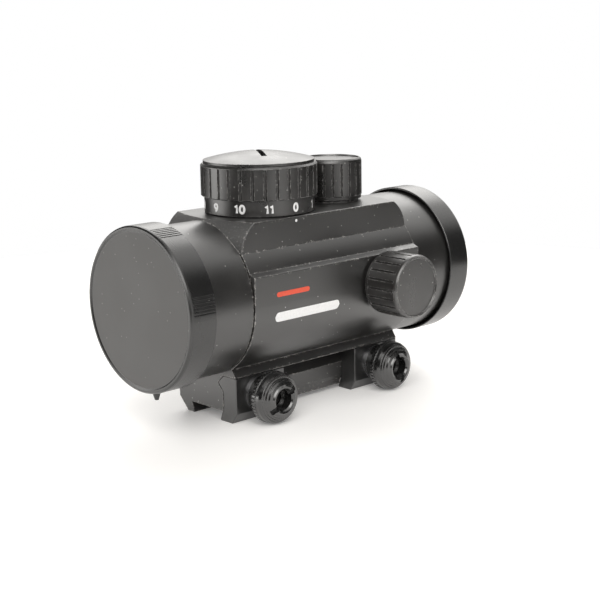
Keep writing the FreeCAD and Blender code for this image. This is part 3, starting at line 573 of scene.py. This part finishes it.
def number_mesh(text):
    """Bold digits side by side in XY, as round strokes."""
    curve = bpy.data.curves.new("digits", "CURVE")
    curve.dimensions = "3D"
    curve.bevel_depth = DIGIT_WEIGHT / 2
    curve.bevel_resolution = 2
    curve.use_fill_caps = True
    start = 0.0
    for digit in text:
        strokes = digit_strokes(digit)
        for points in strokes:
            add_stroke(curve, points, start)
        start += max(x for points in strokes for x, y in points) + DIGIT_GAP
    holder = bpy.data.objects.new("digits", curve)
    bpy.context.scene.collection.objects.link(holder)
    bpy.context.view_layer.update()
    mesh = bpy.data.meshes.new_from_object(holder)
    bpy.data.objects.remove(holder)
    bpy.data.curves.remove(curve)
    return mesh


def wrap_round_dial(mesh, number):
    """Bend a flat number onto the dial's smooth ring, at its own angle."""
    xs = [v.co.x for v in mesh.vertices]
    ys = [v.co.y for v in mesh.vertices]
    mid_x, mid_y = (min(xs) + max(xs)) / 2, (min(ys) + max(ys)) / 2
    flatten = PAINT / (DIGIT_WEIGHT / 2)
    height = NUMBER_RING_LOW + NUMBER_HEIGHT
    for v in mesh.vertices:
        turn = DIGIT_TURN + number * DIGIT_STEP + (v.co.x - mid_x) / NUMBER_RING_R
        reach = NUMBER_RING_R + v.co.z * flatten
        v.co = (DIAL_X + reach * math.sin(turn), -reach * math.cos(turn), height + v.co.y - mid_y)


def add_mesh_piece(name, bm, body, finish):
    """New piece from a finished bmesh."""
    mesh = bpy.data.meshes.new(name)
    bm.to_mesh(mesh)
    bm.free()
    new_piece(name, mesh, body, finish)


def dial_numbers(finish):
    """Numbers 0 to 11 round the dial's smooth ring, 0 at the index."""
    whole = bmesh.new()
    for number in NUMBERS:
        mesh = number_mesh(str(number))
        wrap_round_dial(mesh, number)
        whole.from_mesh(mesh)
        bpy.data.meshes.remove(mesh)
    add_mesh_piece("dial_numbers", whole, "brightness_dial", finish)


def index_dot(finish):
    """Slightly domed dot of paint below the dial."""
    bm = bmesh.new()
    last = None
    centre = bm.verts.new(DOT_PLACE + Vector((0, -PAINT, 0)))
    for i in range(1, DOT_RINGS + 1):
        share = i / DOT_RINGS
        drop = PAINT * (1 - share ** 2)
        circle = []
        for k in range(DOT_SIDES):
            turn = 2 * math.pi * k / DOT_SIDES
            offset = Vector((math.cos(turn) * DOT_R * share, -drop, math.sin(turn) * DOT_R * share))
            circle.append(bm.verts.new(DOT_PLACE + offset))
        for k in range(DOT_SIDES):
            after = (k + 1) % DOT_SIDES
            if last is None:
                bm.faces.new((centre, circle[k], circle[after]))
            else:
                bm.faces.new((last[k], circle[k], circle[after], last[after]))
        last = circle
    add_mesh_piece("index_dot", bm, "housing", finish)


def panel_y(z):
    """Outer face of the right side panel: flat above the optical axis, round below."""
    below = min(z - AXIS_Z, 0.0)
    return -math.sqrt(SKIN_R ** 2 - below ** 2)


def panel_bar(name, place, finish):
    """Plain painted bar with round ends on the side panel, a stand-in for printed marks."""
    (x0, x1), (z0, z1) = place
    bm = bmesh.new()
    radius = (z1 - z0) / 2
    mid = (z0 + z1) / 2
    grid = []
    for i in range(BAR_COLUMNS + 1):
        x = x0 + (x1 - x0) * i / BAR_COLUMNS
        inset = max(x0 + radius - x, x - (x1 - radius), 0.0)
        tall = math.sqrt(max(radius ** 2 - inset ** 2, BAR_TIP ** 2))
        line = []
        for j in range(BAR_ROWS + 1):
            z = mid + tall * (2 * j / BAR_ROWS - 1)
            line.append(bm.verts.new((x, panel_y(z) - PAINT, z)))
        grid.append(line)
    for i in range(BAR_COLUMNS):
        for j in range(BAR_ROWS):
            bm.faces.new((grid[i][j], grid[i + 1][j], grid[i + 1][j + 1], grid[i][j + 1]))
    add_mesh_piece(name, bm, "housing", finish)


# ---------------------------------------------------------------- build

bpy.context.scene.view_settings.view_transform = "Standard"
make_camera()
make_world()
make_floor()
dress_cad_nodes(slot_materials())
white = thin_paint("white_paint", grey(0.72), grey(0.9))
red = thin_paint("red_paint", (0.62, 0.07, 0.035, 1.0), (0.78, 0.11, 0.06, 1.0))
dial_numbers(white)
index_dot(white)
panel_bar("panel_bar_short", SHORT_BAR, red)
panel_bar("panel_bar_long", LONG_BAR, white)
